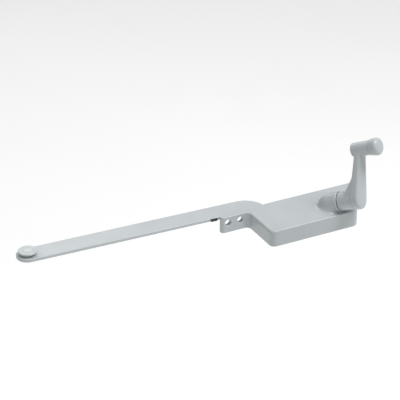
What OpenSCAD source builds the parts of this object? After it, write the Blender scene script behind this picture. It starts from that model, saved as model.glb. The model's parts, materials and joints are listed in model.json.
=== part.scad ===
// Face-mounted single-arm casement window operator with a crank handle.
// Sizes in millimetres. The modules are drawn in a bench frame: its origin is the housing's
// front left bottom corner, +X runs along the housing towards the crank, +Y out through the
// window and +Z up. placed() moves it so that the part's origin is midway between the two
// screw holes of the left flange, on the face that meets the window frame.

/* [Housing] */
// Height of the cast housing and of its flanges
body_h = 15.7; // [15.6:0.1:16]
// Distance from the left end to the centre of the front right corner
front_len = 82.2; // [82:0.2:86]
// Depth from the front face to the front of the flanges
body_depth = 41.6; // [41.4:0.2:42.4]
// Thickness of the flanges
flange_t = 4.8; // [4.6:0.1:5]
// Length of the left flange
flange_len = 26.8; // [26:0.2:30]
// Length of the right flange
ear_len = 15.4; // [13:0.2:18]
// Thickness of the casting's walls
wall = 2.2; // [2:0.1:2.4]
// Thickness of the top plate
top_t = 2.3; // [2.3:0.1:2.4]
// How far the top plate's back lip passes the mounting face
lip = 2.1; // [1:0.1:3]

/* [Mounting screws] */
// Distance between the two screw holes of the left flange
hole_gap = 12; // [11:0.5:13]
// Diameter of the screw holes
hole_d = 6; // [5:0.2:6.4]
// Height of the screw holes above the housing's bottom
hole_z = 9.6; // [8.6:0.1:10]

/* [Arm] */
// Width of the flat steel arm
arm_w = 20; // [19:0.5:20]
// Thickness of the arm
arm_t = 3; // [2.6:0.1:3]
// Length of the arm's straight stretch, from the bend to the track button
arm_reach = 200.4; // [150:0.1:260]
// Angle of the arm to the mounting face when the window is shut
arm_angle = 2.24; // [1.8:0.02:2.6]
// Diameter of the track button
button_d = 16.4; // [14:0.2:18]

/* [Crank] */
// Upward tilt of the crank shaft
crank_tilt = 22; // [22:1:23]
// Turn of the crank shaft from the housing's length towards the room
crank_yaw = 58; // [58:1:59]
// Distance from the crank shaft to the middle of the knob's eye
handle_len = 43.8; // [40:0.2:50]
// Turn of the handle about its shaft, away from upright
handle_turn = 22; // [0:1:60]
// Lean of the handle's blade away from the housing
handle_lean = 10; // [6:1:12]
// Diameter of the knob at its widest
knob_d = 15.6; // [14:0.2:18]

/* [Hidden] */
$fn = 96;
slip = 0.05;

// Colours of the materials
paint = [0.76, 0.78, 0.79];
steel = [0.6, 0.62, 0.64];
bronze = [0.72, 0.56, 0.32];
rubber = [0.12, 0.12, 0.12];
nylon = [0.85, 0.85, 0.82];

// Housing
corner_r = 5;
end_r = 7.5;
end_slant = 20;
fillet_r = 4;
flange_r = 2.5;
mount_y = body_depth + flange_t;
end_x = front_len + end_r * cos(end_slant);
end_y = end_r * (1 - sin(end_slant));
under_top = body_h - top_t;
base_t = 1.4;
right_x = end_x + (body_depth - end_y) * tan(end_slant) + ear_len;
ear_hole_x = right_x - 7;
lip_x = 18.8;
lip_len = 93;
mount_origin = [12.5 - flange_len, mount_y, hole_z];
screw_spots = [[6.5, 6.5], [50, 6.5], [85.5, 12.5], [94, 38], [63, 39.5]];
screw_r = 1.5;
post_r = 3;

// Arm and its pivot
pivot = [26.4, 37.8];
pivot_r = 4;
pivot_bush_r = 6;
hub_r = 12.8;
arm_top = 13;
arm_bottom = arm_top - arm_t;
bend = [0.8, 48.6];
bend_r = 20;
neck_inset = 2.2;
neck_tangent = 217.8;
slot_z = 4;
slot_right = 57.5;
button_at = [-arm_reach, bend_r - arm_w / 2];
button_gap = 2.3;
button_t = 1.3;
button_stud_r = 2.5;
bumper_x = -34.2;
bumper_len = 6;
bumper_t = 1.2;
rivet_angles = [-90, -30, 150];
rivet_reach = 9;
rivet_r = 1.6;

// Worm and gear sector
sector_teeth = 30;
worm_lead = 4;
worm_r = 3.75;
worm_addendum = 0.75;
worm_dedendum = 1.25;
tooth_half = 0.72;
pressure = 20;
sector_r = sector_teeth * worm_lead / (2 * PI);
sector_z = 5.2;
sector_hub_r = 11.5;
sector_first = -1;
sector_last = 9;
worm_y = pivot[1] - sector_r - worm_r;
worm_z = 8.7;
worm_len = 17;
lead_angle = atan(worm_lead / (2 * PI * worm_r));
shaft_r = worm_r - worm_dedendum;
bearing_x = [8, 72];
bearing_w = 5;
bearing_r = 4.2;
clip_t = 0.8;
clip_r = 4.2;

// Crank shaft: its direction towards the user and the seam between boss and handle
axis_dir = [cos(crank_tilt) * cos(crank_yaw), -cos(crank_tilt) * sin(crank_yaw), sin(crank_tilt)];
seam = [73.43, 7.98, 24.08];
boss_r = 9;
boss_tip_r = 6.7;
boss_tip_depth = 3;
boss_straight = 12.6;
boss_len = 18.6;
crank_r = 4;
crank_bush_r = 6.1;
seat_r = 3;
stub_r = 2.5;

// Crossed screw gears between the crank shaft and the worm shaft
pinion_teeth = 8;
driven_teeth = 9;
centre_dir = [0, axis_dir[2], -axis_dir[1]] / norm([axis_dir[1], axis_dir[2]]);
to_seam = seam - [seam[0], worm_y, worm_z];
centre_gap = to_seam * centre_dir;
pinion_s = -(to_seam * axis_dir) / (1 - axis_dir[0] * axis_dir[0]);
driven_x = seam[0] + pinion_s * axis_dir[0];
pinion_r = centre_gap * pinion_teeth / (pinion_teeth + driven_teeth);
driven_r = centre_gap - pinion_r;
helix = acos(axis_dir[0]) / 2;
gear_addendum = 0.8;
gear_dedendum = 1;
gear_half = 0.78;
pinion_w = 5.6;
driven_w = 4.6;
pin_r = 0.8;
bore_end = pinion_s - pinion_w / 2 - 0.3;
stub_end = bore_end - 1.8;

// Crank frame: local -X points up, local +Y sideways and local +Z towards the user
up_dir = [-sin(crank_tilt) * cos(crank_yaw), sin(crank_tilt) * sin(crank_yaw), cos(crank_tilt)];
side_dir = [sin(crank_yaw), cos(crank_yaw), 0];
pinion_roll = atan2(-centre_dir * side_dir, centre_dir * up_dir) + 180 / pinion_teeth;
driven_roll = atan2(centre_dir[1], -centre_dir[2]);

// Handle
hub_gap = 0.7;
handle_hub_r = 8.5;
socket_end = 14;
blade_s = 18.2;
blade_r = 9.2;
blade_t = 6.8;
tip_r = 5.8;
tip_t = 4.5;
eye_r = [6.1, 6.7];
eye_back = 7;
eye_front = 10.3;
knob_len = 10.3;
flare_s = 7.5;
flare_reach = 0.42;
spindle_r = 2.2;
spindle_head_r = 3.2;
hull_fn = 32;
eye_s = blade_s + handle_len * sin(handle_lean);
mid_r = blade_r + flare_reach * (tip_r - blade_r) - 0.2;

// Points along an arc
function arc(c, r, a0, a1, n = 12) =
    [for (i = [0:n]) let (a = a0 + (a1 - a0) * i / n) c + r * [cos(a), sin(a)]];

function direction(a) = [cos(a), sin(a)];

// A point of the arm's own frame, which lies at its bend, in the bench frame
function arm_to_bench(p) = bend
    + [p[0] * cos(arm_angle) + p[1] * sin(arm_angle), p[1] * cos(arm_angle) - p[0] * sin(arm_angle)];

module placed() {
    translate(-mount_origin) children();
}

// A frame on the crank shaft's axis, s beyond the seam towards the user
module on_crank(s = 0, roll = 0) {
    translate(seam + s * axis_dir) rotate([0, 0, -crank_yaw]) rotate([0, 90 - crank_tilt, 0])
        rotate([0, 0, roll]) children();
}

// A frame on the worm shaft's axis, with local +Z along +X
module on_worm(x, roll = 0) {
    translate([x, worm_y, worm_z]) rotate([0, 90, 0]) rotate([0, 0, roll]) children();
}

// A frame on the eye's axis at the end of the handle, with local +Z along the crank shaft
module on_eye(s = 0) {
    reach = handle_len * cos(handle_lean);
    on_crank(eye_s + s) translate([-reach * cos(handle_turn), reach * sin(handle_turn), 0])
        children();
}

// The same part of the way along the handle's blade
module on_blade(part) {
    reach = part * handle_len * cos(handle_lean);
    on_crank(blade_s + part * handle_len * sin(handle_lean))
        translate([-reach * cos(handle_turn), reach * sin(handle_turn), 0]) children();
}

// A frame at the arm's bend, with the straight stretch along local -X
module on_arm() {
    translate([bend[0], bend[1], 0]) rotate([0, 0, -arm_angle]) children();
}

module ring(r, bore, h) {
    difference() {
        cylinder(r = r, h = h);
        translate([0, 0, -1]) cylinder(r = bore, h = h + 2);
    }
}

// Plan of the casting, inset by d from its outer faces
module plan(d = 0) {
    back = mount_y - d;
    slant_x = end_x - d / cos(end_slant) + (back - end_y) * tan(end_slant);
    polygon(concat(
        arc([corner_r, corner_r], corner_r - d, 180, 270),
        arc([front_len, end_r], end_r - d, 270, 360 - end_slant),
        [[slant_x, back], [d, back]]));
}

// Plan of both flanges, with the fillets where they meet the end walls
module flange_plan() {
    slant_top = end_x + (body_depth - end_y) * tan(end_slant);
    polygon(concat(
        arc([-flange_len + flange_r, body_depth + flange_r], flange_r, 180, 270),
        arc([-fillet_r, body_depth - fillet_r], fillet_r, 90, 0),
        [[wall, body_depth - fillet_r], [slant_top - wall, body_depth]],
        arc([right_x - flange_r, body_depth + flange_r], flange_r, 270, 360),
        [[right_x, mount_y], [-flange_len, mount_y]]));
}

// Boss round the crank shaft: straight, then tapered to a round tip
module boss() {
    tip = [for (a = [-90:10:-10]) [boss_tip_r * cos(a), boss_tip_depth * sin(a) - boss_len]];
    on_crank() rotate_extrude() polygon(concat(tip,
        [[boss_tip_r, -boss_len], [boss_r, -boss_straight], [boss_r, 0], [0, 0]]));
}

// Inside of the housing: the cavity less the posts and the bearing brackets
module works_space() {
    difference() {
        translate([0, 0, -1]) linear_extrude(under_top + 1) plan(wall);
        for (p = screw_spots) translate([p[0], p[1], base_t]) cylinder(r = post_r, h = body_h);
        for (x = bearing_x) translate([x, worm_y - bearing_r - 1.8, base_t + 0.1])
            cube([bearing_w, 2 * bearing_r + 3.6, body_h]);
    }
}

// Block with a round top that slides up between the bracket's jaws; local +X points down
module bearing_saddle(x, floor_z, slack = 0) {
    r = bearing_r - slack;
    on_worm(x) linear_extrude(bearing_w)
        polygon(concat(arc([0, 0], r, 90, 270, 24), [[worm_z - floor_z, -r], [worm_z - floor_z, r]]));
}

module frame_hole(x) {
    translate([x, mount_y + 1, hole_z]) rotate([90, 0, 0]) cylinder(d = hole_d, h = flange_t + 2);
}

module housing() {
    color(paint) difference() {
        union() {
            linear_extrude(body_h) plan();
            linear_extrude(body_h) flange_plan();
            translate([lip_x, mount_y - 1, under_top]) cube([lip_len, lip + 1, top_t]);
            intersection() {
                boss();
                translate([0, -20, under_top]) cube([120, 80, 40]);
            }
        }
        works_space();
        translate([wall, mount_y - wall - 1, slot_z])
            cube([slot_right - wall, wall + 2, under_top - slot_z]);
        for (x = bearing_x) bearing_saddle(x, -1);
        translate([pivot[0], pivot[1], under_top - 1]) cylinder(r = pivot_r + slip, h = 2.2);
        for (p = screw_spots) translate([p[0], p[1], -1]) cylinder(r = screw_r, h = 10);
        on_crank(bore_end) cylinder(r = crank_bush_r, h = 1 - bore_end);
        on_crank(stub_end - 0.3) cylinder(r = stub_r + slip, h = 6);
        on_worm(driven_x - driven_w / 2 - 0.5)
            cylinder(r = driven_r + gear_addendum + 0.35, h = driven_w + 1);
        frame_hole(mount_origin[0] - hole_gap / 2);
        frame_hole(mount_origin[0] + hole_gap / 2);
        frame_hole(ear_hole_x);
    }
}

module base_plate() {
    color(steel) difference() {
        linear_extrude(base_t) plan(wall + 0.15);
        for (p = screw_spots) translate([p[0], p[1], -1]) cylinder(r = screw_r, h = 4);
        for (p = screw_spots) translate([p[0], p[1], -0.01])
            cylinder(r1 = 2 * screw_r, r2 = screw_r, h = 1.2);
        translate([pivot[0], pivot[1], -1]) cylinder(r = pivot_r, h = 4);
    }
}

module base_screws() {
    color(steel) for (p = screw_spots) translate([p[0], p[1], 0]) {
        cylinder(r = screw_r - slip, h = 8);
        cylinder(r1 = 2 * screw_r - 0.1, r2 = screw_r - slip, h = 1.1);
    }
}

module arm_pivot_pin() {
    color(steel) translate([pivot[0], pivot[1], 0]) cylinder(r = pivot_r, h = under_top + 1);
}

module pivot_spacer() {
    color(nylon) translate([pivot[0], pivot[1], base_t])
        ring(pivot_bush_r, pivot_r, sector_z - base_t - 0.3);
}

module bearing(x) {
    color(bronze) difference() {
        bearing_saddle(x, base_t + slip, slip);
        on_worm(x - 1) cylinder(r = shaft_r + slip, h = bearing_w + 2);
    }
}

module crank_bush() {
    length = (seam[0] - driven_x - driven_w / 2) / axis_dir[0] - 0.3;
    color(bronze) on_crank(-length) ring(crank_bush_r, crank_r + slip, length);
}

module boss_seal() {
    color(rubber) on_crank(0) ring(7.8, crank_r + 0.1, hub_gap - 0.2);
}

// Flat arm: round end, neck's inner corner, hub round the pivot, and the quarter bend
module arm_plan() {
    to_bend = bend - pivot;
    span = norm(to_bend);
    toward = atan2(to_bend[1], to_bend[0]);
    meet_hub = toward - acos((span * span + hub_r * hub_r - bend_r * bend_r) / (2 * span * hub_r));
    meet_bend = toward - 180
        + acos((span * span + bend_r * bend_r - hub_r * hub_r) / (2 * span * bend_r));
    polygon(concat(
        [for (p = arc(button_at, arm_w / 2, 90, 270, 40)) arm_to_bench(p)],
        [arm_to_bench([neck_inset, 0])],
        arc(pivot, hub_r, neck_tangent, 360 + meet_hub, 60),
        arc(bend, bend_r, meet_bend, 90 - arm_angle, 30)));
}

module rivet_holes() {
    for (a = rivet_angles) translate(concat(pivot + rivet_reach * direction(a), [0]))
        cylinder(r = rivet_r, h = body_h);
}

module operator_arm() {
    color(paint) difference() {
        translate([0, 0, arm_bottom]) linear_extrude(arm_t) arm_plan();
        translate([pivot[0], pivot[1], 0]) cylinder(r = pivot_bush_r, h = body_h);
        rivet_holes();
        on_arm() translate([button_at[0], button_at[1], 0]) cylinder(r = button_stud_r, h = body_h);
    }
}

// One tooth, leaning with the worm's thread, on a radius along local +X
module sector_tooth(root, tip) {
    slope = tan(pressure);
    rotate([-lead_angle, 0, 0]) translate([0, 0, -body_h / 2]) linear_extrude(body_h)
        polygon([[root - 1, tooth_half + slope * (sector_r - root)],
                 [root - 1, -tooth_half - slope * (sector_r - root)],
                 [root, -tooth_half - slope * (sector_r - root)],
                 [tip, -tooth_half - slope * (sector_r - tip)],
                 [tip, tooth_half + slope * (sector_r - tip)],
                 [root, tooth_half + slope * (sector_r - root)]]);
}

module gear_sector() {
    root = sector_r - worm_dedendum;
    tip = sector_r + worm_addendum;
    step = 360 / sector_teeth;
    first = -90 + sector_first * step - step / 2;
    last = -90 + sector_last * step + step / 2;
    height = arm_bottom - sector_z;
    color(steel) difference() {
        translate([pivot[0], pivot[1], sector_z]) intersection() {
            union() {
                linear_extrude(height) polygon(concat([[0, 0]], arc([0, 0], root, first, last, 44)));
                cylinder(r = sector_hub_r, h = height);
                for (k = [sector_first:sector_last]) rotate([0, 0, -90 + k * step])
                    translate([0, 0, worm_z - sector_z]) sector_tooth(root, tip);
            }
            cylinder(r = tip, h = height);
        }
        translate([pivot[0], pivot[1], 0]) cylinder(r = pivot_bush_r, h = body_h);
        rivet_holes();
    }
}

module sector_rivets() {
    color(steel) for (a = rivet_angles)
        translate(concat(pivot + rivet_reach * direction(a), [sector_z - 0.8])) {
            cylinder(r = rivet_r, h = arm_top - sector_z + 0.8);
            cylinder(r = rivet_r + 0.8, h = 0.8);
        }
}

module pivot_bush() {
    color(bronze) translate([pivot[0], pivot[1], sector_z])
        ring(pivot_bush_r, pivot_r + slip, arm_top - sector_z);
}

module arm_bumper() {
    color(rubber) on_arm() translate([bumper_x, bend_r - arm_w - bumper_t, arm_bottom + 0.4])
        cube([bumper_len, bumper_t, arm_t - 0.8]);
}

module button_stud() {
    top = arm_top + button_gap + button_t;
    color(steel) on_arm() translate([button_at[0], button_at[1], 0]) {
        translate([0, 0, arm_bottom - 0.8]) cylinder(r = 4, h = 0.8);
        translate([0, 0, arm_bottom]) cylinder(r = button_stud_r, h = top - arm_bottom - 0.5);
        translate([0, 0, top - 0.5]) cylinder(r = 3.8, h = 0.5);
    }
}

module button_washer() {
    color(nylon) on_arm() translate([button_at[0], button_at[1], arm_top])
        ring(5.2, button_stud_r, 0.3);
}

module track_button() {
    disc_z = arm_top + button_gap;
    color(steel) on_arm() translate([button_at[0], button_at[1], 0]) difference() {
        union() {
            translate([0, 0, disc_z]) cylinder(d = button_d, h = button_t);
            translate([0, 0, arm_top + 0.4]) cylinder(r = 4.6, h = button_gap);
        }
        cylinder(r = button_stud_r + slip, h = 2 * body_h);
        translate([0, 0, disc_z + button_t - 0.6]) cylinder(r = 3.9, h = 2);
    }
}

// Helical thread of the worm: four corners of its section, carried along the helix
module worm_thread() {
    steps = 28;
    slope = tan(pressure);
    root = shaft_r - 0.3;
    tip = worm_r + worm_addendum;
    half_root = tooth_half + slope * (worm_r - root);
    half_tip = tooth_half - slope * worm_addendum;
    section = [[root, -half_root], [tip, -half_tip], [tip, half_tip], [root, half_root]];
    count = floor(steps * (worm_len - 2 * half_root) / worm_lead / 2);
    points = [for (i = [-count:count], c = section) let (a = 360 * i / steps)
        [pivot[0] + worm_lead * (0.5 + i / steps) + c[1], c[0] * cos(a), c[0] * sin(a)]];
    last = 8 * count;
    faces = concat([[3, 2, 1, 0]], [[last, last + 1, last + 2, last + 3]],
        [for (i = [0:2 * count - 1], k = [0:3]) let (a = 4 * i + k, b = 4 * i + (k + 1) % 4)
            each [[a, b, a + 4], [b, b + 4, a + 4]]]);
    translate([0, worm_y, worm_z]) polyhedron(points, faces);
}

module worm_shaft() {
    start = bearing_x[0] - 0.6;
    end = bearing_x[1] + bearing_w + 0.6;
    color(steel) difference() {
        union() {
            on_worm(start) cylinder(r = shaft_r, h = end - start);
            worm_thread();
        }
        on_worm(driven_x, 90) translate([-9, 0, 0]) rotate([0, 90, 0]) cylinder(r = pin_r, h = 18);
    }
}

module shaft_clips() {
    color(steel) for (x = [bearing_x[0] + bearing_w + 0.3, bearing_x[1] - clip_t - 0.3])
        on_worm(x) ring(clip_r, shaft_r, clip_t);
}

// Section of a screw gear with teeth of the given pitch radius
module gear_plan(teeth, r) {
    slope = tan(pressure) / cos(helix);
    half_tip = gear_half - slope * gear_addendum;
    half_root = gear_half + slope * gear_dedendum;
    corners = [[r - gear_dedendum, -half_root], [r, -gear_half], [r + gear_addendum, -half_tip],
               [r + gear_addendum, half_tip], [r, gear_half], [r - gear_dedendum, half_root]];
    polygon([for (k = [0:teeth - 1], c = corners)
        let (a = 360 * k / teeth + 180 / PI * c[1] / c[0]) c[0] * direction(a)]);
}

// Right-hand screw gear, centred on its middle
module screw_gear(teeth, r, width, bore) {
    turn = 180 / PI * width * tan(helix) / r;
    difference() {
        rotate([0, 0, -turn / 2]) linear_extrude(width, center = true, twist = -turn, slices = 12)
            gear_plan(teeth, r);
        cylinder(r = bore, h = 2 * width, center = true);
        translate([-9, 0, 0]) rotate([0, 90, 0]) cylinder(r = pin_r, h = 18);
    }
}

module driven_gear() {
    color(bronze) on_worm(driven_x, driven_roll)
        screw_gear(driven_teeth, driven_r, driven_w, shaft_r);
}

module driven_gear_pin() {
    reach = driven_r - gear_dedendum - 0.3;
    color(steel) on_worm(driven_x, driven_roll) translate([-reach, 0, 0]) rotate([0, 90, 0])
        cylinder(r = pin_r, h = 2 * reach);
}

module drive_pinion() {
    color(steel) on_crank(pinion_s, pinion_roll)
        screw_gear(pinion_teeth, pinion_r, pinion_w, seat_r);
}

module pinion_pin() {
    reach = pinion_r - gear_dedendum - 0.3;
    color(steel) on_crank(pinion_s, pinion_roll) translate([-reach, 0, 0]) rotate([0, 90, 0])
        cylinder(r = pin_r, h = 2 * reach);
}

module crank_shaft() {
    shoulder = pinion_s + pinion_w / 2;
    color(steel) difference() {
        union() {
            on_crank(stub_end) cylinder(r = stub_r, h = 4);
            on_crank(bore_end + 0.3) cylinder(r = seat_r, h = pinion_w + 1);
            on_crank(shoulder) cylinder(r = crank_r, h = socket_end - shoulder);
        }
        on_crank(pinion_s, pinion_roll) translate([-9, 0, 0]) rotate([0, 90, 0])
            cylinder(r = pin_r, h = 18);
    }
}

module crank_handle() {
    color(paint) difference() {
        union() {
            on_crank(hub_gap) cylinder(r = handle_hub_r, h = blade_s - hub_gap);
            hull() {
                on_crank(blade_s - blade_t / 2) cylinder(r = blade_r, h = blade_t, $fn = hull_fn);
                on_eye(-tip_t / 2) cylinder(r = tip_r, h = tip_t, $fn = hull_fn);
            }
            // Flare from the hub's back into the blade
            hull() {
                on_crank(flare_s) cylinder(r = handle_hub_r - 0.4, h = blade_s - flare_s, $fn = hull_fn);
                on_blade(flare_reach) cylinder(r = mid_r, h = 2, center = true, $fn = hull_fn);
            }
            on_eye(-eye_back) cylinder(r1 = eye_r[0], r2 = eye_r[1], h = eye_back + eye_front);
        }
        on_crank(0) cylinder(r = crank_r, h = socket_end);
        on_eye(-eye_back + 2) cylinder(r = spindle_r, h = 40);
        on_eye(-3) translate([0, -9, 0]) rotate([-90, 0, 0]) cylinder(r = pin_r, h = 18);
        on_crank(7) rotate([0, 90, 0]) cylinder(r = screw_r, h = 12);
    }
}

module handle_set_screw() {
    color(steel) on_crank(7) translate([crank_r + 0.02, 0, 0]) rotate([0, 90, 0])
        cylinder(r = screw_r - slip, h = 4);
}

module knob_spindle() {
    color(steel) difference() {
        union() {
            on_eye(-eye_back + 2) cylinder(r = spindle_r, h = eye_back + eye_front + 5);
            on_eye(eye_front + 5.4) cylinder(r = spindle_head_r, h = 1.4);
        }
        on_eye(-3) translate([0, -9, 0]) rotate([-90, 0, 0]) cylinder(r = pin_r, h = 18);
    }
}

module spindle_pin() {
    half = eye_r[0];
    color(steel) on_eye(-3) translate([0, -half, 0]) rotate([-90, 0, 0])
        cylinder(r = pin_r, h = 2 * half);
}

// Knob with a rounded front, hollow where it turns on its spindle
module knob() {
    r = knob_d / 2;
    dome = 3;
    color(paint) on_eye(eye_front + 0.3) rotate_extrude() polygon(concat(
        [[spindle_r + slip, 0], [r - 0.8, 0], [r, 2.4], [r, knob_len - dome]],
        [for (a = [15:15:90]) [r - dome * (1 - cos(a)), knob_len - dome + dome * sin(a)]],
        [[0, knob_len], [0, 6.9], [spindle_head_r + 0.1, 6.9], [spindle_head_r + 0.1, 4.7],
         [spindle_r + slip, 4.7]]));
}

placed() housing();
placed() base_plate();
placed() base_screws();
placed() arm_pivot_pin();
placed() pivot_spacer();
placed() bearing(bearing_x[0]);  // left_bearing
placed() bearing(bearing_x[1]);  // right_bearing
placed() crank_bush();
placed() boss_seal();
placed() operator_arm();
placed() gear_sector();
placed() sector_rivets();
placed() pivot_bush();
placed() arm_bumper();
placed() button_stud();
placed() button_washer();
placed() track_button();
placed() worm_shaft();
placed() shaft_clips();
placed() driven_gear();
placed() driven_gear_pin();
placed() crank_shaft();
placed() drive_pinion();
placed() pinion_pin();
placed() crank_handle();
placed() handle_set_screw();
placed() knob_spindle();
placed() spindle_pin();
placed() knob();
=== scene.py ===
"""Looks of a casement window operator with a crank handle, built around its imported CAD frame."""
import json
import math

import bmesh
import bpy
from mathutils import Matrix, Vector


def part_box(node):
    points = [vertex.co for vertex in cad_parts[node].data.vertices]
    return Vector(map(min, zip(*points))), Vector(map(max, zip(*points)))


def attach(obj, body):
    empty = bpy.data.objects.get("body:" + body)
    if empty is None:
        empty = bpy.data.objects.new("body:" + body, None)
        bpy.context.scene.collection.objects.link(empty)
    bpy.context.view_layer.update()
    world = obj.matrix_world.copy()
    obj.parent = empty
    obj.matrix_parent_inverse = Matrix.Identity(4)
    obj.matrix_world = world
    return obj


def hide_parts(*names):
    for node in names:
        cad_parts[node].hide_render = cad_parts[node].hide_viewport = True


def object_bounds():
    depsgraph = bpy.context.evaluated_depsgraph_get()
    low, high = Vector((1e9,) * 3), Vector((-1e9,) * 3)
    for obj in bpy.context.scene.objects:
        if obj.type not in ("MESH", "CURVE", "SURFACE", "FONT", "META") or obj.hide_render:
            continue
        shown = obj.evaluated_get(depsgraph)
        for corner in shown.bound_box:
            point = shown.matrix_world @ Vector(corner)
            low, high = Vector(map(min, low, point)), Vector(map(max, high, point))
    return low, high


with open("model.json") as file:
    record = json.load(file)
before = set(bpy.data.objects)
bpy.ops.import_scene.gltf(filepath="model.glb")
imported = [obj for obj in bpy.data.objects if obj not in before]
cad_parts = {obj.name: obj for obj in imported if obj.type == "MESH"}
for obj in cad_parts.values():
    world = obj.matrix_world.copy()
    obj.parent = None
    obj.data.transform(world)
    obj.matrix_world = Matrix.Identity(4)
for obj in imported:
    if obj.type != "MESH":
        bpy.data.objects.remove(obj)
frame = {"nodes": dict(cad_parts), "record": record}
cad_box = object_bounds()
MM = 0.001
RECORD = frame["record"]
JOINTS = {joint["name"]: joint for joint in RECORD["behaviour"]["joints"]}

# Camera: the direction it looks from, its distance, and the point it looks at
AZIMUTH = math.radians(-27.35)
ELEVATION = math.radians(28.09)
DISTANCE = 1.415
LENS = 147.3
LOOK_AT = Vector((-0.03905, -0.0144, -0.00213))
RISE = 0.0332

# How far below the object the floor lies
FLOOR_DROP = 0.42

# Sizes of the casting that its softened copy needs
TOP_HEIGHT = 15.7 * MM
FLANGE_LENGTH = 26.8 * MM
BORE_FILL = 6.3 * MM
BORE_DEPTH = 19.6 * MM

# Foot of the boss's flowing base: distances behind the seam and to either side, in millimetres
SKIRT_FOOT = ((3, 9.5), (9, 12.5), (15, 11.5), (17.5, 9))

KNOB_LENGTH = 10.3 * MM
KNOB_RADIUS = 7.8 * MM
KNOB_ROUNDING = 1.6 * MM

# Voxel size and smoothing rounds of each softened copy
SOFTENING = {
    "housing": (0.42 * MM, 9),
    "crank_handle": (0.3 * MM, 10),
    "operator_arm": (0.36 * MM, 4),
    "track_button": (0.16 * MM, 4),
}
SMOOTHING = 0.5
FLARE_ROUNDS = 380
LEFT_EDGE_ROUNDS = 140
HANDLE_ROUNDS = 150

FLOOR_GLOW = 0.12


# ---------------------------------------------------------------- node materials

def new_material(name):
    material = bpy.data.materials.new(name)
    material.use_nodes = True
    nodes = material.node_tree.nodes
    return material, nodes, material.node_tree.links, nodes["Principled BSDF"]


def noise(nodes, links, scale, detail=4.0, stretch=(1, 1, 1)):
    """Noise in object space, so it stays with the piece."""
    coords = nodes.new("ShaderNodeTexCoord")
    mapping = nodes.new("ShaderNodeMapping")
    mapping.inputs["Scale"].default_value = stretch
    texture = nodes.new("ShaderNodeTexNoise")
    texture.inputs["Scale"].default_value = scale
    texture.inputs["Detail"].default_value = detail
    links.new(coords.outputs["Object"], mapping.inputs["Vector"])
    links.new(mapping.outputs["Vector"], texture.inputs["Vector"])
    return texture.outputs["Fac"]


def ramp(nodes, links, source, stops):
    node = nodes.new("ShaderNodeValToRGB")
    while len(node.color_ramp.elements) < len(stops):
        node.color_ramp.elements.new(0.5)
    for element, (place, colour) in zip(node.color_ramp.elements, stops):
        element.position = place
        element.color = (*colour, 1)
    links.new(source, node.inputs["Fac"])
    return node.outputs["Color"]


def mix(nodes, links, factor, a, b, blend="MIX"):
    node = nodes.new("ShaderNodeMix")
    node.data_type = "RGBA"
    node.blend_type = blend
    for value, socket in ((factor, "Factor"), (a, 6), (b, 7)):
        target = node.inputs[socket]
        if isinstance(value, bpy.types.NodeSocket):
            links.new(value, target)
        else:
            target.default_value = value
    return node.outputs[2]


def bump(nodes, links, shader, height, distance, strength=1.0):
    node = nodes.new("ShaderNodeBump")
    node.inputs["Distance"].default_value = distance
    node.inputs["Strength"].default_value = strength
    links.new(height, node.inputs["Height"])
    links.new(node.outputs["Normal"], shader.inputs["Normal"])


def scaled(colour, k):
    return tuple(min(1.0, c * k) for c in colour)


def enamel(name, colour, grain=620.0, depth=0.00006):
    """Satin enamel on metal: fine orange peel and faint mottling; paler convex edges are partly rubbed
    wear and partly a painted highlight, and darker hollows are painted shade.
    """
    material, nodes, links, shader = new_material(name)
    mottle = ramp(nodes, links, noise(nodes, links, 38.0, 3.0),
                  [(0.3, scaled(colour, 0.955)), (0.7, scaled(colour, 1.03))])
    specks = ramp(nodes, links, noise(nodes, links, 1500.0, 2.0),
                  [(0.32, (0.93, 0.93, 0.93)), (0.45, (1, 1, 1))])
    body = mix(nodes, links, 1.0, mottle, specks, "MULTIPLY")
    shape = nodes.new("ShaderNodeNewGeometry")
    # Paler convex edges from pointiness: partly rubbed wear, partly a painted highlight along the rims
    edge = ramp(nodes, links, shape.outputs["Pointiness"],
                [(0.506, (0, 0, 0)), (0.545, (0.6, 0.6, 0.6))])
    # Hollows darkened from pointiness: painted shade in creases and inner corners
    painted_hollow_shade = ramp(nodes, links, shape.outputs["Pointiness"],
                  [(0.42, (0.82, 0.82, 0.82)), (0.485, (1, 1, 1))])
    body = mix(nodes, links, 1.0, body, painted_hollow_shade, "MULTIPLY")
    wear_and_painted_highlight = mix(nodes, links, edge, body, (*scaled(colour, 1.22), 1))
    links.new(wear_and_painted_highlight, shader.inputs["Base Color"])
    gloss = ramp(nodes, links, noise(nodes, links, 160.0, 5.0),
                 [(0.3, (0.3, 0.3, 0.3)), (0.7, (0.42, 0.42, 0.42))])
    links.new(gloss, shader.inputs["Roughness"])
    shader.inputs["Coat Weight"].default_value = 0.25
    shader.inputs["Coat Roughness"].default_value = 0.22
    bump(nodes, links, shader, noise(nodes, links, grain, 3.0), depth, 0.5)
    return material


def metal(name, colour, roughness, stretch=(1, 1, 8), scale=500.0):
    """Bare or plated metal with drawn scratches and stains."""
    material, nodes, links, shader = new_material(name)
    shader.inputs["Metallic"].default_value = 1.0
    stains = ramp(nodes, links, noise(nodes, links, 120.0, 5.0),
                  [(0.3, scaled(colour, 0.72)), (0.65, scaled(colour, 1.08))])
    links.new(stains, shader.inputs["Base Color"])
    drawn = noise(nodes, links, scale, 4.0, stretch)
    gloss = ramp(nodes, links, drawn, [(0.25, (roughness * 0.7,) * 3), (0.75, (roughness * 1.3,) * 3)])
    links.new(gloss, shader.inputs["Roughness"])
    bump(nodes, links, shader, drawn, 0.00004, 0.4)
    return material


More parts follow.
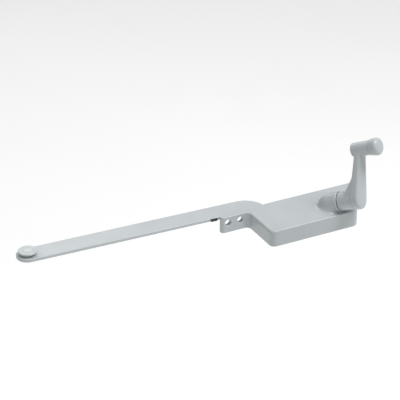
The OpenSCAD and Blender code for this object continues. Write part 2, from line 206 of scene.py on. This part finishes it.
def moulded(name, colour, roughness, depth=0.00008):
    """Rubber or nylon with a fine moulded grain."""
    material, nodes, links, shader = new_material(name)
    tone = ramp(nodes, links, noise(nodes, links, 210.0, 4.0),
                [(0.3, scaled(colour, 0.8)), (0.7, scaled(colour, 1.15))])
    links.new(tone, shader.inputs["Base Color"])
    gloss = ramp(nodes, links, noise(nodes, links, 400.0, 3.0),
                 [(0.3, (roughness * 0.85,) * 3), (0.7, (min(1, roughness * 1.15),) * 3)])
    links.new(gloss, shader.inputs["Roughness"])
    bump(nodes, links, shader, noise(nodes, links, 900.0, 3.0), depth, 0.5)
    return material


MATERIALS = {
    "painted_zinc": enamel("painted_zinc", (0.43, 0.465, 0.475)),
    "painted_steel": enamel("painted_steel", (0.45, 0.485, 0.495), grain=420.0, depth=0.00005),
    "plated_steel": metal("plated_steel", (0.6, 0.61, 0.62), 0.3),
    "gear_steel": metal("gear_steel", (0.4, 0.4, 0.4), 0.34, (6, 1, 1)),
    "bronze": metal("bronze", (0.6, 0.42, 0.2), 0.4),
    # Near-black rubber. The arm's dark strip beside the flange takes this finish: a dark piece put
    # where the arm's edge lies in the flange's shade, so it stands for painted shade
    "black_rubber": moulded("black_rubber", (0.035, 0.035, 0.037), 0.62),
    "nylon": moulded("nylon", (0.72, 0.71, 0.66), 0.42),
}


# ---------------------------------------------------------------- shapes

def finished(piece, node, body, material_slot):
    """Puts a new piece in place of a CAD node."""
    piece.data.materials.clear()
    piece.data.materials.append(MATERIALS[material_slot])
    for polygon in piece.data.polygons:
        polygon.use_smooth = True
    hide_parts(node)
    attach(piece, body)
    return piece


def apply_modifiers(piece):
    graph = bpy.context.evaluated_depsgraph_get()
    mesh = bpy.data.meshes.new_from_object(piece.evaluated_get(graph))
    piece.modifiers.clear()
    piece.data = mesh


def smooth_where(piece, weight, rounds):
    """Smooths the points for which weight, a function of their place, is above zero."""
    group = piece.vertex_groups.new(name="region")
    for vertex in piece.data.vertices:
        amount = weight(vertex.co)
        if amount > 0:
            group.add([vertex.index], min(1.0, amount), "REPLACE")
    smooth = piece.modifiers.new("local", "SMOOTH")
    smooth.factor = SMOOTHING
    smooth.iterations = rounds
    smooth.vertex_group = group.name
    apply_modifiers(piece)
    piece.vertex_groups.clear()


def softened(node, name, fillers=()):
    """A copy of a CAD node as a casting: every edge rounded and every inner corner filleted.
    Fillers are closed pieces that are melted into it."""
    voxel, rounds = SOFTENING[node]
    source = frame["nodes"][node]
    mesh = source.data.copy()
    mesh.transform(source.matrix_world)
    piece = bpy.data.objects.new(name, mesh)
    bpy.context.scene.collection.objects.link(piece)
    shape = bmesh.new()
    shape.from_mesh(mesh)
    bmesh.ops.remove_doubles(shape, verts=shape.verts, dist=1e-7)
    for filler in fillers:
        shape.from_mesh(filler.data)
        bpy.data.objects.remove(filler)
    shape.to_mesh(mesh)
    shape.free()
    remesh = piece.modifiers.new("voxels", "REMESH")
    remesh.mode = "VOXEL"
    remesh.voxel_size = voxel
    smooth = piece.modifiers.new("rounding", "SMOOTH")
    smooth.factor = SMOOTHING
    smooth.iterations = rounds
    apply_modifiers(piece)
    return piece


def mesh_piece(name, build):
    shape = bmesh.new()
    build(shape)
    mesh = bpy.data.meshes.new(name)
    shape.to_mesh(mesh)
    shape.free()
    piece = bpy.data.objects.new(name, mesh)
    bpy.context.scene.collection.objects.link(piece)
    return piece


def axis_frame(origin, axis):
    """Matrix with local +Z along the axis."""
    turn = Vector(axis).normalized().to_track_quat("Z", "Y").to_matrix().to_4x4()
    return Matrix.Translation(origin) @ turn


def lathe(name, profile, matrix, steps=96):
    """Closed solid of revolution; the profile runs from the axis to the axis."""
    def build(shape):
        rings = []
        for radius, height in profile:
            if radius < 1e-9:
                rings.append([shape.verts.new((0, 0, height))])
                continue
            rings.append([shape.verts.new((radius * math.cos(math.tau * k / steps),
                                           radius * math.sin(math.tau * k / steps), height))
                          for k in range(steps)])
        for low, high in zip(rings, rings[1:]):
            for k in range(steps):
                after = (k + 1) % steps
                corners = [low[k % len(low)], low[after % len(low)],
                           high[after % len(high)], high[k % len(high)]]
                unique = list(dict.fromkeys(corners))
                if len(unique) > 2:
                    shape.faces.new(unique)
        bmesh.ops.recalc_face_normals(shape, faces=shape.faces)
    piece = mesh_piece(name, build)
    piece.data.transform(matrix)
    return piece


def rounded(points, radius, steps=5):
    """Rounds the inner corners of an open profile of (radius, height) points."""
    result = [points[0]]
    for before, corner, after in zip(points, points[1:], points[2:]):
        here = Vector(corner)
        to_before = Vector(before) - here
        to_after = Vector(after) - here
        cut = min(radius, to_before.length * 0.45, to_after.length * 0.45)
        start = here + to_before.normalized() * cut
        end = here + to_after.normalized() * cut
        for k in range(steps + 1):
            t = k / steps
            result.append(tuple((1 - t) ** 2 * start + 2 * t * (1 - t) * here + t ** 2 * end))
    result.append(points[-1])
    return result


# ---------------------------------------------------------------- painted pieces

def fade(value, start, full):
    """0 at start, 1 at full, and in between in proportion."""
    return max(0.0, min(1.0, (value - start) / (full - start)))


def boss_skirt(seam, back, top):
    """Flowing base under the boss, as the convex hull of rings on it and points on the plate."""
    side = back.cross(Vector((0, 0, 1))).normalized()
    rise = side.cross(back)

    def build(shape):
        for along, radius in ((2, 8.7), (11, 8.3), (15, 6.8)):
            for k in range(32):
                turn = math.tau * k / 32
                ring = side * math.cos(turn) + rise * math.sin(turn)
                shape.verts.new(seam + (back * along + ring * radius) * MM)
        for along, aside in SKIRT_FOOT:
            for sign in (-1, 1):
                foot = seam + (back * along + side * sign * aside) * MM
                shape.verts.new((foot.x, foot.y, top - 0.6 * MM))
        hull = bmesh.ops.convex_hull(shape, input=shape.verts)
        bmesh.ops.delete(shape, geom=hull["geom_interior"], context="VERTS")
    return mesh_piece("skirt", build)


def make_housing():
    """The casting: its boss flows into the top plate, and the left edge is well rounded."""
    seam = Vector(JOINTS["crank_turn"]["pos_m"])
    back = Vector(JOINTS["crank_turn"]["axis"]).normalized()
    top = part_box("base_plate")[0][2] + TOP_HEIGHT
    plug = lathe("plug", [(0, 0), (BORE_FILL, 0), (BORE_FILL, BORE_DEPTH), (0, BORE_DEPTH)],
                 axis_frame(seam + back * 0.7 * MM, back), 48)
    piece = softened("housing", "cast_housing", fillers=[plug, boss_skirt(seam, back, top)])
    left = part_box("housing")[0][0] + FLANGE_LENGTH
    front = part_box("base_plate")[0][1]

    def flare(place):
        along = (place - seam).dot(back)
        aside = (place - seam - back * along).length
        return (fade(along, 2.5 * MM, 6 * MM) * fade(along, 34 * MM, 26 * MM)
                * fade(aside, 26 * MM, 20 * MM) * fade(place.z, top - 1.2 * MM, top - 0.2 * MM)
                * fade(place.y, front, front + 3 * MM))

    def left_edge(place):
        return (fade(place.x, left + 9 * MM, left + 5 * MM) * fade(place.z, top - 5 * MM, top - 3 * MM)
                * fade(place.x, left - 1.5 * MM, left - 0.5 * MM) * fade(place.y, -1 * MM, -8 * MM))
    smooth_where(piece, flare, FLARE_ROUNDS)
    smooth_where(piece, left_edge, LEFT_EDGE_ROUNDS)
    return finished(piece, "housing", "housing", "painted_zinc")


def make_handle():
    """The handle: crisp at the seam and the eye, full and rounded in between."""
    seam = Vector(JOINTS["crank_turn"]["pos_m"])
    front = -Vector(JOINTS["crank_turn"]["axis"]).normalized()
    eye = Vector(JOINTS["knob_spin"]["pos_m"])
    piece = softened("crank_handle", "cast_handle")

    def body(place):
        along = (place - seam).dot(front)
        from_eye = place - eye
        from_eye -= front * from_eye.dot(front)
        return fade(along, 3 * MM, 9 * MM) * fade(from_eye.length, 6.5 * MM, 10 * MM)
    smooth_where(piece, body, HANDLE_ROUNDS)
    return finished(piece, "crank_handle", "crank", "painted_zinc")


def make_arm():
    piece = softened("operator_arm", "flat_arm")
    return finished(piece, "operator_arm", "arm", "painted_steel")


def make_button():
    piece = softened("track_button", "round_button")
    return finished(piece, "track_button", "track_button", "painted_steel")


def make_knob():
    """Turned knob: it widens towards a full, rounded front."""
    joint = JOINTS["knob_spin"]
    axis = Vector(joint["axis"]).normalized()
    low, high = (Vector(corner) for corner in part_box("knob"))
    middle = (low + high) / 2
    origin = Vector(joint["pos_m"])
    centre = origin + axis * (middle - origin).dot(axis)
    radius = KNOB_RADIUS
    half = KNOB_LENGTH / 2
    profile = [(0, -half), (0.78 * radius, -half), (0.89 * radius, -half * 0.9),
               (0.95 * radius, -half * 0.4), (radius, half * 0.2), (0.995 * radius, half * 0.5),
               (0.84 * radius, half * 0.86), (0.45 * radius, half * 0.99), (0, half)]
    piece = lathe("turned_knob", rounded(profile, KNOB_ROUNDING), axis_frame(centre, axis))
    return finished(piece, "knob", "knob", "painted_zinc")


for make in (make_housing, make_handle, make_arm, make_button, make_knob):
    make()

# Every other CAD node keeps its shape and takes its slot's finish
REPLACED = ("housing", "crank_handle", "operator_arm", "track_button", "knob")
for part in RECORD["subparts"]:
    if part["node"] not in REPLACED:
        node_object = frame["nodes"][part["node"]]
        for material_slot in node_object.material_slots:
            material_slot.material = MATERIALS[part["material_slot"]]


# ---------------------------------------------------------------- floor, light and camera

def make_floor():
    """White paper, faintly lit from behind so that it stays pale to its edges."""
    material, nodes, links, shader = new_material("floor_paper")
    shade = ramp(nodes, links, noise(nodes, links, 3.0, 2.0),
                 [(0.3, (0.93, 0.93, 0.93)), (0.7, (0.95, 0.95, 0.95))])
    links.new(shade, shader.inputs["Base Color"])
    shader.inputs["Roughness"].default_value = 0.9
    shader.inputs["Emission Color"].default_value = (1, 1, 1, 1)
    shader.inputs["Emission Strength"].default_value = FLOOR_GLOW
    size = 6.0
    level = cad_box[0][2] - FLOOR_DROP

    def build(shape):
        corners = [shape.verts.new((x * size, y * size, level))
                   for x, y in ((-1, -1), (1, -1), (1, 1), (-1, 1))]
        shape.faces.new(corners)
    floor = mesh_piece("floor", build)
    floor.data.materials.append(material)


def area_light(name, position, energy, size):
    data = bpy.data.lights.new(name, "AREA")
    data.shape = "DISK"
    data.size = size
    data.energy = energy
    light = bpy.data.objects.new(name, data)
    light.location = position
    light.rotation_euler = (LOOK_AT - Vector(position)).to_track_quat("-Z", "Y").to_euler()
    bpy.context.scene.collection.objects.link(light)


def make_light():
    world = bpy.data.worlds.new("studio")
    world.use_nodes = True
    world.node_tree.nodes["Background"].inputs["Color"].default_value = (1, 1, 1, 1)
    world.node_tree.nodes["Background"].inputs["Strength"].default_value = 0.55
    bpy.context.scene.world = world
    area_light("key", (0.62, -0.42, 1.38), 19, 0.8)
    area_light("back", (0.2, 1.5, 0.9), 3, 0.8)


def make_camera():
    away = Vector((math.sin(AZIMUTH) * math.cos(ELEVATION), -math.cos(AZIMUTH) * math.cos(ELEVATION),
                   math.sin(ELEVATION)))
    right = Vector((math.cos(AZIMUTH), math.sin(AZIMUTH), 0))
    up = away.cross(right)
    data = bpy.data.cameras.new("camera")
    data.lens = LENS
    camera = bpy.data.objects.new("camera", data)
    place = LOOK_AT + away * DISTANCE + up * RISE
    camera.matrix_world = Matrix((right, up, away)).transposed().to_4x4()
    camera.location = place
    bpy.context.scene.collection.objects.link(camera)
    bpy.context.scene.camera = camera


make_floor()
make_light()
make_camera()
bpy.context.scene.view_settings.view_transform = "Standard"
